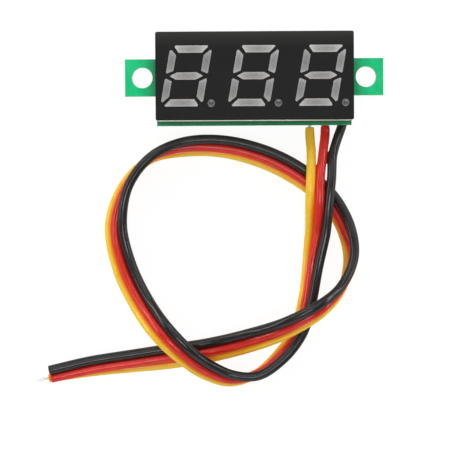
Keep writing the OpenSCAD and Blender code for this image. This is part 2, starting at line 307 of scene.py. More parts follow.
def inset(points, distance):
    """A convex outline moved inwards by a distance, or outwards by a negative one."""
    n = len(points)
    p = [np.array(q, float) for q in points]
    area = sum(p[k - 1][0] * p[k][1] - p[k][0] * p[k - 1][1] for k in range(n))
    turn = 1 if area > 0 else -1
    lines = []
    for k in range(n):
        along = p[(k + 1) % n] - p[k]
        along /= np.linalg.norm(along)
        inward = turn * np.array([-along[1], along[0]])
        lines.append((p[k] + inward * distance, along))
    out = []
    for k in range(n):
        (a, u), (b, v) = lines[k - 1], lines[k]
        step = np.linalg.solve(np.array([u, -v]).T, b - a)[0]
        out.append(tuple(a + u * step))
    return out


def rectangle(w, h, y):
    """A rectangle about the point (0, y)."""
    return [(-w / 2, y - h / 2), (w / 2, y - h / 2), (w / 2, y + h / 2), (-w / 2, y + h / 2)]


def circle(x, y, r):
    """A round outline with the sides of a decimal point."""
    turns = [2 * math.pi * k / DOT_SIDES for k in range(DOT_SIDES)]
    return [(x + r * math.cos(t), y + r * math.sin(t)) for t in turns]


def scaled(points, factor):
    """Points brought closer to their middle, or away from it."""
    middle = np.mean(points, axis=0)
    return [tuple(middle + (np.array(p) - middle) * factor) for p in points]


# ================================================================ display
def bar_outlines():
    """The seven bars of one digit before it is leant, about its middle, each with whether it
    stands upright."""
    half_w, half_h, inner = DIGIT_W / 2, DIGIT_H / 2, DIGIT_W / 2 - BAR_W

    def level_bar(y, s):
        return [
            (-half_w + 0.57, y), (half_w - 0.57, y), (half_w - 0.49, y - s * 0.18),
            (inner - 0.21, y - s * BAR_W), (-inner + 0.21, y - s * BAR_W),
            (-half_w + 0.49, y - s * 0.18),
        ]

    def upright_bar(s, t):
        return [
            (s * half_w, t * (half_h - 0.63)), (s * (half_w - 0.19), t * (half_h - 0.47)),
            (s * inner, t * (half_h - 1.1)), (s * inner, t * 0.57),
            (s * (half_w - 0.12), t * 0.26), (s * half_w, t * 0.38),
        ]

    middle_bar = [
        (-inner - 0.4, 0), (-inner + 0.41, BAR_W / 2), (inner - 0.41, BAR_W / 2),
        (inner + 0.4, 0), (inner - 0.41, -BAR_W / 2), (-inner + 0.41, -BAR_W / 2),
    ]
    lying = [level_bar(half_h, 1), level_bar(-half_h, -1), middle_bar]
    standing = [upright_bar(s, t) for t in (1, -1) for s in (-1, 1)]
    return [(bar, False) for bar in lying] + [(bar, True) for bar in standing]


def counter_clockwise(points):
    """The same outline, drawn counter-clockwise."""
    area = sum(a[0] * b[1] - b[0] * a[1] for a, b in zip(points, points[1:] + points[:1]))
    return points if area > 0 else points[::-1]


def lean(point, digit):
    """A point of the upright digit, leant over and moved to its own digit."""
    x, y = point
    return (x + math.tan(SLANT) * y + FIRST_DIGIT_X + digit * DIGIT_PITCH, y + DISPLAY_Y)


def bars():
    """Every light bar of the display: its leant outline, and whether it stands upright."""
    for digit in range(3):
        for outline, upright in bar_outlines():
            yield counter_clockwise([lean(p, digit) for p in outline]), upright


def dots():
    """The middle of each decimal point."""
    return [
        (FIRST_DIGIT_X + digit * DIGIT_PITCH + DOT_X, DISPLAY_Y + DOT_Y) for digit in range(3)
    ]


def bar_edge(outline, out):
    """A bar's edge with its corners rounded, moved outwards."""
    return rounded(inset(outline, -out), BAR_CORNER + out)


def dot_edge(spot, out):
    """A decimal point's edge, moved outwards."""
    return circle(*spot, DOT_R + out)


def openings():
    """Every opening of the case's front, with the function that draws its edge."""
    return [(outline, bar_edge) for outline, upright in bars()] + [
        (spot, dot_edge) for spot in dots()
    ]


def case_edge(drawn_in):
    """The outline of the display, moved inwards."""
    outer = rectangle(DISPLAY_W, DISPLAY_H, DISPLAY_Y)
    return rounded(inset(outer, drawn_in), CORNER_R - drawn_in, CORNER_STEPS)


def rounding(shell, edge):
    """Rings over the mask's rounded edge, from the front to the rear, where it is edge(0)."""
    rings = []
    for step in range(EDGE_STEPS + 1):
        turn = math.radians(90 * step / EDGE_STEPS)
        z = FACE_Z - MASK_T * (1 - math.cos(turn))
        rings.append(shell.ring(level(edge(MASK_T * (1 - math.sin(turn))), z)))
    for a, b in zip(rings, rings[1:]):
        shell.bridge(a, b)
    return rings[0], rings[-1]


def make_mask():
    """The black mask over the case's front, with rounded edges at its rim and its openings."""
    shell = Shell()
    rims = [rounding(shell, case_edge)]
    for shape, edge in openings():
        rims.append(rounding(shell, lambda out: edge(shape, out)))
    shell.plate([front for front, rear in rims])
    shell.plate([rear for front, rear in rims])
    return shell.piece("front_mask", sharp=10)


def add_foot(shell, x, y):
    """A square foot on the case's rear."""
    corners = [(x + px, py) for px, py in rectangle(FOOT, FOOT, y)]
    low = shell.ring(level(corners, CASE_Z - FOOT_H))
    high = shell.ring(level(corners, CASE_Z + FOOT_JOIN))
    shell.bridge(low, high)
    shell.face(low)
    shell.face(high)


def make_case():
    """The moulded case: its walls, the wells under the mask and the recess for its board."""
    shell = Shell()
    top = shell.ring(level(case_edge(0), CASE_TOP))
    side = shell.ring(level(case_edge(0), CASE_Z + REAR_EDGE_R))
    rear = shell.ring(level(case_edge(REAR_EDGE_R), CASE_Z))
    shell.bridge(top, side)
    shell.bridge(side, rear)
    wells = []
    for shape, edge in openings():
        mouth = shell.ring(level(edge(shape, 0), CASE_TOP))
        low = shell.ring(level(scaled(edge(shape, 0), WELL_TAPER), ROOF_Z))
        shell.bridge(mouth, low)
        wells.append((mouth, low))
    shell.plate([top] + [well[0] for well in wells])
    recess = rectangle(DISPLAY_W - 2 * RECESS_WALL, DISPLAY_H - 2 * RECESS_WALL, DISPLAY_Y)
    mouth = shell.ring(level(recess, CASE_Z))
    roof = shell.ring(level(recess, ROOF_Z))
    shell.plate([rear, mouth])
    shell.bridge(mouth, roof)
    shell.plate([roof] + [well[1] for well in wells])
    for x in (-FOOT_X, FOOT_X):
        for y in (-FOOT_Y, FOOT_Y):
            add_foot(shell, x, DISPLAY_Y + y)
    return shell.piece("display_case")


def bar_tone(middle, upright):
    """How pale a bar's resin looks: the top bars most, the upright ones least."""
    if upright:
        return UPRIGHT_BAR_TONE
    return TOP_BAR_TONE if middle[1] > DIGIT_H / 4 else LEVEL_BAR_TONE


def make_bars():
    """The resin in each bar's well. Its surface is dished a little, as poured resin sets."""
    shell = Shell()
    draw = random.Random(BAR_SEED)
    for outline, upright in bars():
        middle = np.mean(outline, axis=0)
        along = np.array([math.sin(SLANT), math.cos(SLANT)]) if upright else np.array([1.0, 0.0])
        reach = max(abs((np.array(p) - middle) @ along) for p in outline)
        tone = bar_tone(middle, upright) + draw.uniform(-TONE_SPREAD, TONE_SPREAD)
        offset = draw.uniform(0, STREAK_SHIFT)

        def add(points, z, rim):
            places = [np.array(p) - middle for p in points]
            flat = [(p @ along / reach, p @ [-along[1], along[0]] + offset) for p in places]
            return shell.ring(level(points, z), rim=rim, tone=tone, flat=flat)

        low = add(scaled(bar_edge(outline, 0), WELL_TAPER), ROOF_Z, 1)
        shell.face(low)
        ring = add(bar_edge(outline, -MOAT_W), FACE_Z - MOAT_T, 1)
        shell.bridge(low, ring)
        for away, drop, rim in BAR_DISH:
            points = rounded(inset(outline, away), BAR_DISH_CORNER)
            next_ring = add(points, FACE_Z - drop, rim)
            shell.bridge(ring, next_ring)
            ring = next_ring
        shell.face(ring)
    return shell.piece("segment_resin")


def make_lenses():
    """The three decimal points: a ring of resin round a small dimple."""
    shell = Shell()
    for spot in dots():
        low = shell.ring(level(circle(*spot, DOT_R * WELL_TAPER), ROOF_Z), rim=1)
        shell.face(low)
        ring = low
        for share, drop, rim in DOT_PROFILE:
            points = level(circle(*spot, DOT_R * share), FACE_Z - drop)
            next_ring = shell.ring(points, rim=rim)
            shell.bridge(ring, next_ring)
            ring = next_ring
        shell.fan(ring, rim=DOT_MIDDLE_RIM)
    return shell.piece("decimal_lenses")


# ================================================================ lead
def smooth(rows):
    """A smooth curve through the rows, by cubic pieces over the distance between them."""
    rows = np.array(rows, float)
    gaps = np.linalg.norm(np.diff(rows[:, :3], axis=0), axis=1)
    slopes = np.diff(rows, axis=0) / gaps[:, None]
    bends = np.vstack([
        slopes[:1],
        (slopes[:-1] * gaps[1:, None] + slopes[1:] * gaps[:-1, None])
        / (gaps[:-1] + gaps[1:])[:, None],
        slopes[-1:],
    ])
    out = []
    for k, gap in enumerate(gaps):
        for step in range(CURVE_STEPS):
            u = step / CURVE_STEPS
            out.append(
                (2 * u**3 - 3 * u**2 + 1) * rows[k] + (u**3 - 2 * u**2 + u) * gap * bends[k]
                + (3 * u**2 - 2 * u**3) * rows[k + 1] + (u**3 - u**2) * gap * bends[k + 1]
            )
    out.append(rows[-1])
    return np.array(out)


def unit(v):
    """Vectors brought to a length of one."""
    return v / np.linalg.norm(v, axis=-1, keepdims=True)


def across(rows, column):
    """Direction from the middle core to its black neighbour's side, for one column of turns."""
    ahead = unit(np.gradient(rows[:, :2], axis=0))
    turn = np.radians(rows[:, column])
    flat = np.stack([-ahead[:, 1], ahead[:, 0]], 1)
    return np.hstack([np.cos(turn)[:, None] * flat, np.sin(turn)[:, None]])


def core_path(name, rows):
    """A core's centres at the ribbon's rows, and the direction towards black at each."""
    column = {"black": 3, "red": 3, "yellow": 4}[name]
    side = {"black": 1, "red": 0, "yellow": -1}[name]
    towards = across(rows, column)
    return rows[:, :3] + side * CORE_PITCH * towards, towards


def whole_core(name):
    """A core from its cut end at the board to its far end: its centres and directions. The
    ribbon's first stations shape the curve that leads into it."""
    start = np.array(STARTS[name], float)
    stations = core_path(name, np.array(ROUTE, float))[0]
    lead_in = smooth(np.vstack([start, stations[:3]]))[: len(start) * CURVE_STEPS]
    ribbon, towards = core_path(name, smooth(ROUTE))
    centres = np.vstack([lead_in, ribbon])
    centres[:, 2] = np.maximum(centres[:, 2], CORE_R)
    towards = np.vstack([np.repeat(towards[:1], len(lead_in), axis=0), towards])
    if name == "yellow":
        ahead = unit(centres[-1] - centres[-2])
        centres = np.vstack([centres, centres[-1] + ahead * YELLOW_EXTRA])
        towards = np.vstack([towards, towards[-1:]])
    return centres, towards


def even(centres, towards, step):
    """The curve and its directions again, at even distances along it."""
    run = np.concatenate([[0], np.cumsum(np.linalg.norm(np.diff(centres, axis=0), axis=1))])
    at = np.linspace(0, run[-1], int(run[-1] / step) + 1)

    def spread(values):
        return np.stack([np.interp(at, run, values[:, k]) for k in range(3)], 1)

    return spread(centres), spread(towards), at


def cross_frame(centres, towards):
    """Direction along the curve, and the two across it that a section is drawn in."""
    ahead = unit(np.gradient(centres, axis=0))
    side = towards - (towards * ahead).sum(1)[:, None] * ahead
    side = unit(side)
    return ahead, side, np.cross(ahead, side)


def webs_to(points, neighbour):
    """For each centre: the way to the neighbour's nearest centre, and how high a ridge on the
    core has to be to meet the neighbour's halfway. There is none where they have split."""
    ways, heights = [], []
    for k, centre in enumerate(points):
        near = neighbour[max(0, k - WEB_SEARCH):k + WEB_SEARCH]
        gaps = np.linalg.norm(near - centre, axis=1)
        least = int(gaps.argmin())
        ways.append(near[least] - centre)
        joined = gaps[least] < WEB_REACH
        heights.append(max(0.0, gaps[least] / 2 - CORE_R) + WEB_OVERLAP if joined else 0.0)
    return ways, heights


def girth(run):
    """A core's size along it: a little uneven, and drawn in where soldering heated its end."""
    waver = 1 + WAVER * math.sin(run * WAVES[0]) * math.sin(run * WAVES[1] + 1)
    left = max(0.0, 1 - run / END_REACH)
    return waver * (1 - END_TAPER * left**2)


def make_core(name, paths):
    """One insulated core as a swept mesh, open to its strands at both cut ends."""
    points, towards, run = paths[name]
    ahead, side, up = cross_frame(points, towards)
    webs = [webs_to(points, paths[other][0]) for other in NEIGHBOURS[name]]
    turns = np.linspace(0, 2 * math.pi, CORE_SIDES, endpoint=False)
    shell = Shell()
    rings = []
    for k, centre in enumerate(points):
        radius = np.full(CORE_SIDES, CORE_R * girth(run[k]))
        for ways, heights in webs:
            web = math.atan2(ways[k] @ up[k], ways[k] @ side[k])
            off = (turns - web + math.pi) % (2 * math.pi) - math.pi
            radius += heights[k] * np.exp(-((off / WEB_ANGLE) ** 2))
        ring = []
        for r, t in zip(radius, turns):
            spot = centre + r * (math.cos(t) * side[k] + math.sin(t) * up[k])
            ring += shell.ring([spot], run=run[k], over=math.cos(t), under=math.sin(t))
        rings.append(ring)
    for a, b in zip(rings, rings[1:]):
        shell.bridge(a, b)
    for ring, k, out in ((rings[0], 0, -1), (rings[-1], len(points) - 1, 1)):
        close_core(shell, ring, points[k], out * ahead[k])
    return shell.piece(f"core_{name}", sharp=50)


def close_core(shell, ring, centre, out):
    """A cut end: a slightly domed face of insulation round a shallow hole for the strands."""
    outer = np.array([shell.points[k] for k in ring])
    last = ring
    for share, push in CUT_END:
        following = shell.ring(centre + (outer - centre) * share + out * push)
        shell.bridge(last, following)
        last = following
    shell.fan(last)


def add_tube(shell, points, radius):
    """A closed round tube along points."""
    points = np.array(points, float)
    ahead = unit(np.gradient(points, axis=0))
    askew = [0.3, 0.2, 1.0]
    side = unit(np.cross(ahead, askew))
    up = np.cross(ahead, side)
    turns = [2 * math.pi * k / STRAND_SIDES for k in range(STRAND_SIDES)]
    rings = [
        shell.ring([c + radius * (math.cos(t) * s + math.sin(t) * u) for t in turns])
        for c, s, u in zip(points, side, up)
    ]
    for a, b in zip(rings, rings[1:]):
        shell.bridge(a, b)
    shell.fan(rings[0])
    shell.fan(rings[-1])


def add_strands(shell, start, end, radius=STRAND_R, splay=0.0, reaches=None):
    """Strands twisted together from start to end, fanned out by splay at the end. Each one goes
    as far as reaches says, as a share of the way, or the whole way."""
    start, end = np.array(start, float), np.array(end, float)
    reach = np.linalg.norm(end - start)
    ahead = (end - start) / reach
    side = unit(np.cross(ahead, [0, 0, 1.0]))
    up = np.cross(side, ahead)
    draw = random.Random(STRAND_SEED)
    for strand in range(STRANDS):
        phase = 2 * math.pi * strand / (STRANDS - 1)
        out = 0 if strand == STRANDS - 1 else 2 * radius
        lean_to = draw.uniform(0.5, 1.0) * splay
        cut = reaches[strand] if reaches else 1
        points = []
        for step in range(STRAND_STEPS + 1):
            t = step / STRAND_STEPS * cut
            turn = phase + 2 * math.pi * t * reach / STRAND_LAY
            ray = math.cos(turn) * side + BUNDLE_SQUASH * math.sin(turn) * up
            spread = (out + (lean_to * t**2 if out else 0)) * ray
            points.append(start + ahead * reach * t + spread)
        add_tube(shell, points, radius)


# ================================================================ materials
def colour(r, g, b):
    """A shader colour from an sRGB one of 0 to 255."""
    def straight(c):
        c /= 255
        return c / 12.92 if c <= 0.04045 else ((c + 0.055) / 1.055) ** 2.4
    return (straight(r), straight(g), straight(b), 1.0)


# The colour sockets of a Mix node. Its other sockets have the same names.
MIX_FIRST = 6
MIX_SECOND = 7
MIX_RESULT = 2


def grey(level):
    """A shader colour that stands for one level."""
    return (level, level, level, 1.0)


class Finish:
    """Short calls that build one material's nodes. Lengths are in millimetres."""

    def __init__(self, name, roughness=0.5, metallic=0.0, **constants):
        self.material = bpy.data.materials.new(name)
        self.material.use_nodes = True
        self.tree = self.material.node_tree
        self.bsdf = self.tree.nodes["Principled BSDF"]
        self.bsdf.inputs["Roughness"].default_value = roughness
        self.bsdf.inputs["Metallic"].default_value = metallic
        for key, value in constants.items():
            self.bsdf.inputs[key.replace("_", " ")].default_value = value
        self.place = self.node("ShaderNodeTexCoord").outputs["Object"]

    def node(self, kind, **settings):
        """A new node with some of its settings."""
        made = self.tree.nodes.new(kind)
        for key, value in settings.items():
            setattr(made, key, value)
        return made

    def put(self, socket, value):
        """Links an output to a socket, or sets the socket to a plain value."""
        if isinstance(value, bpy.types.NodeSocket):
            self.tree.links.new(value, socket)
        else:
            socket.default_value = value

    def stretched(self, vector, scales):
        """Places multiplied by a scale along each axis."""
        mapping = self.node("ShaderNodeMapping")
        self.put(mapping.inputs["Vector"], vector)
        mapping.inputs["Scale"].default_value = scales
        return mapping.outputs["Vector"]

    def noise(self, size, detail, stretch=None, vector=None):
        """Noise whose spots are about size across."""
        made = self.node("ShaderNodeTexNoise")
        if vector is None:
            vector = self.stretched(self.place, stretch) if stretch else self.place
        self.put(made.inputs["Vector"], vector)
        made.inputs["Scale"].default_value = 1 / (size * MM)
        made.inputs["Detail"].default_value = detail
        made.inputs["Roughness"].default_value = 0.55
        return made.outputs["Fac"]

    def ramp(self, value, *stops):
        """A value turned into colours or levels at the given places from 0 to 1."""
        made = self.node("ShaderNodeValToRGB")
        self.put(made.inputs["Fac"], value)
        points = made.color_ramp.elements
        while len(points) < len(stops):
            points.new(0.5)
        for point, (position, tint) in zip(points, stops):
            point.position = position
            point.color = tint if isinstance(tint, tuple) else grey(tint)
        return made.outputs["Color"]

    def vary(self, value, low, high):
        """A colour or level that goes from low to high over the middle range of a value."""
        return self.ramp(value, (0.3, low), (0.7, high))

    def mix(self, share, a, b, blend="MIX"):
        """Colour a with a share of b in it."""
        made = self.node("ShaderNodeMix", data_type="RGBA", blend_type=blend)
        self.put(made.inputs["Factor"], share)
        self.put(made.inputs[MIX_FIRST], a)
        self.put(made.inputs[MIX_SECOND], b)
        return made.outputs[MIX_RESULT]

    def maths(self, operation, a, b=0.0):
        made = self.node("ShaderNodeMath", operation=operation)
        self.put(made.inputs[0], a)
        self.put(made.inputs[1], b)
        return made.outputs[0]

    def value(self, name):
        """A value that a shell keeps for its points."""
        return self.node("ShaderNodeAttribute", attribute_name=name).outputs["Fac"]

    def axis(self, vector, letter):
        """One of a vector's three numbers."""
        made = self.node("ShaderNodeSeparateXYZ")
        self.put(made.inputs[0], vector)
        return made.outputs[letter]

    def facing(self, letter):
        """How far the surface faces an axis, from -1 to 1, in the piece's own frame."""
        coordinates = self.node("ShaderNodeTexCoord")
        return self.axis(coordinates.outputs["Normal"], letter)

    def bump(self, height, depth, before=None):
        """Relief of a depth, over an earlier one if that is given."""
        made = self.node("ShaderNodeBump")
        self.put(made.inputs["Height"], height)
        made.inputs["Distance"].default_value = depth * MM
        made.inputs["Strength"].default_value = 1.0
        if before is not None:
            self.put(made.inputs["Normal"], before)
        return made.outputs["Normal"]

    def surface(self, tint, roughness=None, normal=None):
        """The finished material, with what changes over its surface."""
        for name, value in (("Base Color", tint), ("Roughness", roughness), ("Normal", normal)):
            if value is not None:
                self.put(self.bsdf.inputs[name], value)
        return self.material


# A painted sheen, the overhead light's reflection, as a paler stripe along the top of the display's
# face: where it starts, and its rise a millimetre.
PAINTED_SHEEN_Y = 3.2
PAINTED_SHEEN_RISE = 0.53


def ink_black():
    """Ink of the display's face: near black, with a painted sheen as a paler stripe along its top
    edge.
    """
    f = Finish("ink_black", Specular_IOR_Level=0.2)
    patches = f.noise(2.2, 4)
    grain = f.noise(0.12, 3)
    # Painted sheen: a paler colour along the top edge, where the overhead light's reflection falls.
    above = f.maths("SUBTRACT", f.axis(f.place, "Y"), PAINTED_SHEEN_Y * MM)
    painted_sheen = f.ramp(f.maths("MULTIPLY", above, PAINTED_SHEEN_RISE / MM), (0, 0.0), (0.6, 0.4), (1, 1.0))
    body = f.vary(patches, colour(15, 15, 15), colour(22, 21, 21))
    body = f.mix(painted_sheen, body, colour(58, 57, 53))
    tint = f.mix(0.25, body, f.vary(grain, colour(12, 12, 12), colour(34, 34, 34)))
    return f.surface(tint, f.vary(grain, 0.42, 0.6), f.bump(grain, 0.004))


def case_white():
    """Milky plastic of the display's case."""
    f = Finish("case_white")
    patches = f.noise(1.8, 4)
    grain = f.noise(0.1, 2)
    tint = f.vary(patches, colour(230, 234, 224), colour(243, 246, 238))
    return f.surface(tint, f.vary(grain, 0.4, 0.55), f.bump(grain, 0.004))


# Streaks on the flat map of a bar: how wide they are, and their stretch along the bar.
STREAK_W = 0.09
STREAK_STRETCH = (0.35, 1, 1)


def segment_grey():
    """Diffusing resin: fine streaks along each bar, paler at its rim and its two ends. The flat
    map runs from -1 to 1 along a bar, and is in millimetres across it."""
    f = Finish("segment_grey", Specular_IOR_Level=0.4)
    flat = f.node("ShaderNodeUVMap", uv_map="flat").outputs["UV"]
    streaks = f.noise(STREAK_W / MM, 3, vector=f.stretched(flat, STREAK_STRETCH))
    ends = f.maths("ABSOLUTE", f.axis(flat, "X"))
    ends = f.ramp(ends, (0.1, 0.0), (0.5, 0.25), (0.92, 1.0))
    tone = f.ramp(f.value("tone"), (0, colour(134, 132, 131)), (1, colour(166, 165, 162)))
    pale = f.ramp(f.value("tone"), (0, colour(166, 165, 163)), (1, colour(222, 221, 218)))
    tint = f.mix(ends, tone, pale)
    tint = f.mix(0.75, tint, f.ramp(streaks, (0.35, 0.66), (0.65, 1.0)), "MULTIPLY")
    tint = f.mix(f.maths("MULTIPLY", f.value("rim"), 0.55), tint, pale)
    return f.surface(tint, f.vary(streaks, 0.5, 0.35), f.bump(streaks, 0.006))


def lens_grey():
    """Cloudy resin of the decimal points, paler on its ring than in its dimple."""
    f = Finish("lens_grey", roughness=0.3, Coat_Weight=0.3, Coat_Roughness=0.15)
    cloud = f.noise(0.25, 4)
    tint = f.ramp(f.value("rim"), (0.2, colour(58, 58, 59)), (0.8, colour(106, 106, 107)))
    tint = f.mix(0.3, tint, f.vary(cloud, colour(52, 52, 52), colour(98, 98, 98)))
    return f.surface(tint, normal=f.bump(cloud, 0.006))


# How far the painted shade beside the display reaches over the board.
PAINTED_SHADE_REACH = 3


def mask_green():
    """Solder mask on the faces, with painted shade that fades away from the display, and the
    laminate's glass layers on the cut edges."""
    f = Finish("mask_green", Specular_IOR_Level=0.25)
    edge = f.maths("LESS_THAN", f.maths("ABSOLUTE", f.facing("Z")), 0.5)
    cloud = f.noise(1.6, 5)
    weave = f.noise(0.16, 3)
    mask = f.vary(cloud, colour(10, 198, 124), colour(24, 210, 136))
    mask = f.mix(0.12, mask, f.ramp(weave, (0.35, colour(5, 120, 70)), (0.65, colour(60, 230, 160))))
    layers = f.noise(0.1, 3, stretch=(0.2, 0.2, 1.6))
    cut = f.vary(layers, colour(132, 146, 92), colour(192, 196, 146))
    # Painted shade: the board's faces darken towards the display, where the case shades them.
    across = f.maths("SUBTRACT", f.maths("ABSOLUTE", f.axis(f.place, "X")), DISPLAY_W / 2 * MM)
    along = f.maths("SUBTRACT", f.maths("ABSOLUTE", f.axis(f.place, "Y")), DISPLAY_H / 2 * MM)
    away = f.maths("MULTIPLY", f.maths("MAXIMUM", across, along), 1 / (PAINTED_SHADE_REACH * MM))
    painted_shade = f.ramp(
        away, (0.0, 0.75), (0.06, 0.66), (0.13, 0.56), (0.22, 0.47), (0.45, 0.22), (0.85, 0.0)
    )
    painted_shade = f.maths("MULTIPLY", painted_shade, f.maths("GREATER_THAN", f.facing("Z"), 0.5))
    mask = f.mix(painted_shade, mask, colour(38, 50, 36))
    tint = f.mix(edge, mask, cut)
    roughness = f.mix(edge, f.vary(cloud, 0.2, 0.32), grey(0.7))
    return f.surface(tint, roughness, f.bump(weave, 0.003))


def laminate():
    """Bare laminate of the small board inside the display."""
    f = Finish("laminate")
    weave = f.noise(0.15, 4)
    tint = f.vary(weave, colour(206, 198, 160), colour(236, 230, 204))
    return f.surface(tint, f.vary(weave, 0.5, 0.7), f.bump(weave, 0.006))


def tinned(name, light, dark, size=0.12, depth=0.006, rough=(0.22, 0.45)):
    """Metal with dull patches and a fine grain of a size and a depth."""
    f = Finish(name, metallic=1.0)
    patches = f.noise(size * 5, 5)
    grain = f.noise(size, 4)
    tint = f.vary(patches, dark, light)
    return f.surface(tint, f.vary(patches, *rough), f.bump(grain, depth))


def compound():
    """Moulding compound of the chips: near black, with a fine matt texture."""
    f = Finish("compound")
    grain = f.noise(0.05, 3)
    patches = f.noise(0.9, 4)
    tint = f.vary(patches, colour(30, 30, 32), colour(46, 46, 48))
    return f.surface(tint, f.vary(grain, 0.5, 0.75), f.bump(grain, 0.008))


def trimmer_white():
    """Pale plastic of the trimmer's base."""
    f = Finish("trimmer_white")
    cloud = f.noise(0.8, 4)
    grain = f.noise(0.07, 2)
    tint = f.vary(cloud, colour(216, 210, 194), colour(236, 232, 220))
    return f.surface(tint, f.vary(grain, 0.4, 0.6), f.bump(grain, 0.005))


def trimmer_brass():
    """Brushed brass of the trimmer's rotor."""
    f = Finish("trimmer_brass", metallic=1.0)
    brushed = f.noise(0.05, 3, stretch=(0.25, 1, 1))
    patches = f.noise(0.7, 4)
    tint = f.vary(patches, colour(186, 146, 70), colour(222, 186, 104))
    return f.surface(tint, f.vary(brushed, 0.22, 0.42), f.bump(brushed, 0.004))


def resistor_black():
    """Glossy black coat on the face that looks away from the board, white fired body elsewhere."""
    f = Finish("resistor_black", roughness=0.3)
    down = f.maths("GREATER_THAN", f.maths("MULTIPLY", f.facing("Z"), -1), 0.5)
    cloud = f.noise(0.3, 4)
    coat = f.vary(cloud, colour(20, 20, 24), colour(40, 40, 46))
    body = f.vary(cloud, colour(206, 206, 200), colour(232, 232, 226))
    return f.surface(f.mix(down, body, coat), normal=f.bump(cloud, 0.005))


def capacitor_tan():
    """Fired ceramic of the capacitors."""
    f = Finish("capacitor_tan")
    cloud = f.noise(0.5, 5)
    tint = f.vary(cloud, colour(158, 124, 84), colour(194, 162, 116))
    return f.surface(tint, f.vary(cloud, 0.3, 0.5), f.bump(f.noise(0.05, 2), 0.004))


CORE_ROUGH = 0.17
CORE_GLOSS = 0.4
GLOW_REACH = 0.6
GLOW_TINT = (1.0, 0.4, 0.12)
# Drawing lines lie on a map that is a unit circle round the core: their width on it, and how much
# they are drawn out along the core.
LINE_W = 1 / 7
LINE_STRETCH = 0.12
# How far along the lead the cores are apart, from where they are joined, and a scale for both.
APART_TO = 7
JOINED_FROM = 11
JOIN_SCALE = 20


def insulation(name, light, dark, joints, glow=0.0):
    """Soft extruded insulation: fine drawing lines along it, dull patches and a little dust.
    Where a core meets another, its side gets a painted colour: shade, and the light thrown from
    the neighbour. Each such side is given as: the side, where the painted colour starts and is
    full, that colour, and the roughness there."""
    f = Finish(
        name, Subsurface_Weight=glow, Subsurface_Scale=GLOW_REACH * MM,
        Subsurface_Radius=GLOW_TINT, Specular_IOR_Level=CORE_GLOSS,
    )
    lengthwise = f.node("ShaderNodeCombineXYZ")
    f.put(lengthwise.inputs["X"], f.maths("MULTIPLY", f.value("run"), LINE_STRETCH))
    f.put(lengthwise.inputs["Y"], f.value("over"))
    f.put(lengthwise.inputs["Z"], f.value("under"))
    lines = f.noise(LINE_W / MM, 3, vector=lengthwise.outputs["Vector"])
    patches = f.noise(1.6, 3)
    grain = f.noise(0.16, 2)
    dust = f.ramp(f.noise(0.13, 1), (0.66, 0.0), (0.76, 1.0))
    tint = f.vary(patches, dark, light)
    dull = f.ramp(patches, (0.35, CORE_ROUGH - 0.05), (0.7, CORE_ROUGH + 0.1))
    drawn = f.ramp(lines, (0.35, CORE_ROUGH - 0.04), (0.7, CORE_ROUGH + 0.13))
    grazing = f.vary(f.node("ShaderNodeLayerWeight").outputs["Facing"], 0.0, 1.0)
    roughness = f.mix(grazing, f.mix(0.5, dull, drawn), grey(0.8))
    # The painted shade between cores is weaker where they are still apart.
    joined = f.ramp(
        f.maths("MULTIPLY", f.value("run"), 1 / JOIN_SCALE),
        (APART_TO / JOIN_SCALE, 0.25), (JOINED_FROM / JOIN_SCALE, 1.0),
    )
    # Painted shade and reflected light where the core meets a neighbour: darker beside a dark
    # neighbour, tinted beside a coloured one.
    for side, (first, last), shade, polish in joints:
        painted_share = f.ramp(f.maths("MULTIPLY", f.value("over"), side), (first, 0.0), (last, 0.9))
        painted_share = f.maths("MULTIPLY", joined, painted_share)
        tint = f.mix(painted_share, tint, shade)
        roughness = f.mix(painted_share, roughness, grey(polish))
    tint = f.mix(f.maths("MULTIPLY", dust, 0.12), tint, colour(190, 184, 176))
    normal = f.bump(grain, 0.0008, f.bump(lines, 0.002, f.bump(f.noise(0.9, 2), 0.007)))
    return f.surface(tint, roughness, normal)


FINISHES = {
    "ink_black": ink_black(),
    "case_white": case_white(),
    "segment_grey": segment_grey(),
    "lens_grey": lens_grey(),
    "mask_green": mask_green(),
    "laminate": laminate(),
    "tin": tinned("tin", colour(214, 216, 218), colour(176, 178, 180)),
    "solder": tinned("solder", colour(208, 210, 214), colour(168, 170, 174), 0.2, 0.015),
    "copper": tinned("copper", colour(222, 160, 108), colour(186, 118, 70)),
    "die": tinned("die", colour(200, 150, 90), colour(150, 100, 50)),
    "strand": tinned("strand", colour(246, 244, 240), colour(228, 225, 219), 0.05, 0.002, (0.4, 0.6)),
    "compound": compound(),
    "trimmer_white": trimmer_white(),
    "trimmer_brass": trimmer_brass(),
    "resistor_black": resistor_black(),
    "capacitor_tan": capacitor_tan(),
    # For each core, the colours beside its neighbours are painted shade and reflected light.
    "core_black": insulation(
        "insulation_black", colour(40, 39, 39), colour(31, 30, 30),
        [(-1, (0.45, 0.98), colour(24, 21, 20), 0.2)],
    ),
    "core_red": insulation(
        "insulation_red", colour(228, 52, 42), colour(212, 38, 30),
        [(1, (0.4, 0.95), colour(176, 28, 18), 0.2), (-1, (0.3, 0.95), colour(236, 88, 18), 0.8)],
        glow=0.4,
    ),
    "core_yellow": insulation(
        "insulation_yellow", colour(255, 215, 60), colour(251, 201, 42),
        [(1, (0.35, 1.0), colour(236, 118, 28), 0.2)], glow=0.4,
    ),
}

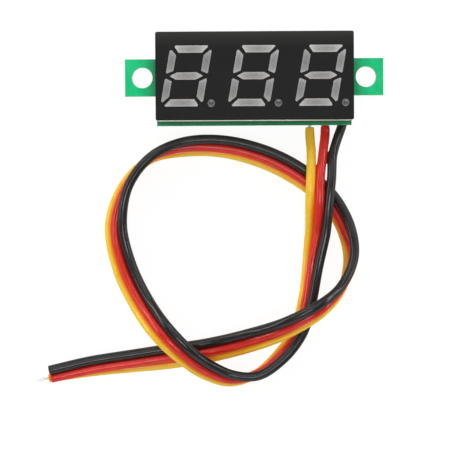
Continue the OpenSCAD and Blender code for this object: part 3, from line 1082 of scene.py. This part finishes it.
NODE_FINISH = {
    "circuit_board": "mask_green",
    "display_board": "laminate",
    "led_dies": "die",
    "display_pins": "tin",
    "pin_solder": "solder",
    "controller_body": "compound",
    "controller_leads": "tin",
    "regulator_body": "compound",
    "regulator_tabs": "tin",
    "diode_body": "compound",
    "diode_tabs": "tin",
    "trimmer_base": "trimmer_white",
    "trimmer_rotor": "trimmer_brass",
    "trimmer_tabs": "tin",
    "resistor_bodies": "resistor_black",
    "resistor_ends": "tin",
    "capacitor_bodies": "capacitor_tan",
    "capacitor_ends": "tin",
    "wire_pads": "copper",
    "wire_solder": "solder",
}


def dress(piece, finish):
    """Gives a piece its material."""
    piece.data.materials.clear()
    piece.data.materials.append(FINISHES[finish])


def place(piece, replaced, finish):
    """Dresses a piece and puts it on the meter's body, for the CAD nodes that it stands for."""
    dress(piece, finish)
    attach(piece, BODY)
    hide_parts(*replaced)
    return piece


# ================================================================ build
for node, finish in NODE_FINISH.items():
    dress(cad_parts[node], finish)

place(make_case(), ["display_housing"], "case_white")
place(make_mask(), ["face_mask"], "ink_black")
place(make_bars(), ["light_bars"], "segment_grey")
place(make_lenses(), ["decimal_points"], "lens_grey")

paths = {name: even(*whole_core(name), RING_STEP) for name in ("yellow", "red", "black")}
cores = {}
for name in paths:
    piece = make_core(name, paths)
    place(piece, [f"wire_{name}"], f"core_{name}")
    cores[name] = (piece, paths[name][0])

bare = Shell()
for piece, path in cores.values():
    back = unit(path[0] - path[2])
    to_pad = PAD_Y + PAST_PAD - path[0][1]
    add_strands(bare, path[0] - back * STRAND_INSIDE, path[0] + back * to_pad)
place(bare.piece("bare_strands"), ["wire_conductors"], "strand")

tails = Shell()
for name, (piece, path) in cores.items():
    out = unit(path[-1] - path[-3])
    inside = path[-1] - out * STRAND_INSIDE
    if name == "yellow":
        tip = path[-1] + out * TAIL_STRIP
        add_strands(tails, inside, tip, TAIL_STRAND_R, TAIL_SPLAY, TAIL_REACH)
    else:
        add_strands(tails, inside, path[-1])
tail = place(tails.piece("tail_strands"), ["tail_conductor"], "strand")


# ================================================================ stage
WHITE = (1, 1, 1, 1)
FLOOR_HALF = 1
SQUARE = [(-1, -1), (1, -1), (1, 1), (-1, 1)]
FLOOR_Z = -0.00002
FLOOR_PALE = (0.8, 0.8, 0.8, 1)
FLOOR_SHADE = (0.11, 0.11, 0.11, 1)
FLOOR_GLOW = 0.92
SKY_STRENGTH = 0.22
# Each lamp's place, its width and height, and its power. All of them point at LAMP_AIM.
LAMPS = {
    "key": ((0, 0.22, 0.34), (0.34, 0.42), 0.50),
    "front": ((0, -0.10, 0.33), (0.14, 0.05), 0.22),
    "low": ((0, -0.40, 0.15), (0.42, 0.14), 0.26),
    "left": ((-0.30, 0.12, 0.18), (0.55, 0.07), 0.70),
    "right": ((0.30, 0.12, 0.18), (0.55, 0.06), 0.58),
    "under": ((0, -0.014, -0.40), (0.30, 0.30), 1.2),
}
LAMP_AIM = (0, -0.014, 0.004)
CAMERA_PLACE = (-0.00208, -0.009295, 0.219)
CAMERA_TURN = [math.radians(a) for a in (-2.119, 0.282, -0.331)]
CAMERA_LENS = 147.07
CAMERA_SENSOR = 36
CAMERA_CLIP = (0.01, 10)


def make_floor():
    """Pale floor. The object gets the light of a plain pale surface from it. Seen from above it
    is white with a soft shadow, and from below it is clear. The lamp under it shines through."""
    mesh = bpy.data.meshes.new("floor")
    mesh.from_pydata([(x * FLOOR_HALF, y * FLOOR_HALF, 0) for x, y in SQUARE], [], [(0, 1, 2, 3)])
    floor = bpy.data.objects.new("floor", mesh)
    floor.location.z = FLOOR_Z
    bpy.context.scene.collection.objects.link(floor)
    material = bpy.data.materials.new("floor_white")
    material.use_nodes = True
    nodes, links = material.node_tree.nodes, material.node_tree.links
    nodes.remove(nodes["Principled BSDF"])

    def add(kind, *values):
        """A node's first output, with its first sockets linked or set."""
        made = nodes.new(kind)
        for socket, value in zip(made.inputs, values):
            if isinstance(value, bpy.types.NodeSocket):
                links.new(value, socket)
            else:
                socket.default_value = value
        return made.outputs[0]

    def either(a, b):
        most = add("ShaderNodeMath", a, b)
        most.node.operation = "MAXIMUM"
        return most

    rays = nodes.new("ShaderNodeLightPath").outputs
    seen = either(rays["Is Camera Ray"], rays["Is Glossy Ray"])
    seen = either(seen, rays["Is Transmission Ray"])
    shade = add("ShaderNodeBsdfDiffuse", FLOOR_SHADE)
    glow = add("ShaderNodeEmission", WHITE, FLOOR_GLOW)
    shown = add("ShaderNodeAddShader", shade, glow)
    above = add("ShaderNodeMixShader", seen, add("ShaderNodeBsdfDiffuse", FLOOR_PALE), shown)
    underside = nodes.new("ShaderNodeNewGeometry").outputs["Backfacing"]
    passed = either(underside, rays["Is Shadow Ray"])
    whole = add("ShaderNodeMixShader", passed, above, add("ShaderNodeBsdfTransparent"))
    links.new(whole, nodes["Material Output"].inputs["Surface"])
    floor.data.materials.append(material)


def make_lamp(name, spot, size, power):
    """A softbox whose width lies level."""
    data = bpy.data.lights.new(name, "AREA")
    data.shape = "RECTANGLE"
    data.size, data.size_y = size
    data.energy = power
    lamp = bpy.data.objects.new(name, data)
    lamp.location = spot
    ahead = Vector(LAMP_AIM) - Vector(spot)
    lamp.rotation_euler = ahead.to_track_quat("-Z", "Y").to_euler()
    bpy.context.scene.collection.objects.link(lamp)


def make_world():
    """An even, faint light from all round."""
    world = bpy.data.worlds.new("studio")
    bpy.context.scene.world = world
    world.use_nodes = True
    sky = world.node_tree.nodes["Background"]
    sky.inputs["Color"].default_value = WHITE
    sky.inputs["Strength"].default_value = SKY_STRENGTH


def make_camera():
    """The view that the photo shows, from nearly straight above."""
    data = bpy.data.cameras.new("camera")
    data.lens = CAMERA_LENS
    data.sensor_width = CAMERA_SENSOR
    data.clip_start, data.clip_end = CAMERA_CLIP
    camera = bpy.data.objects.new("camera", data)
    camera.location = CAMERA_PLACE
    camera.rotation_euler = CAMERA_TURN
    bpy.context.scene.collection.objects.link(camera)
    bpy.context.scene.camera = camera


make_floor()
make_world()
for name, (spot, size, power) in LAMPS.items():
    make_lamp(name, spot, size, power)
make_camera()
bpy.context.scene.view_settings.view_transform = "Standard"
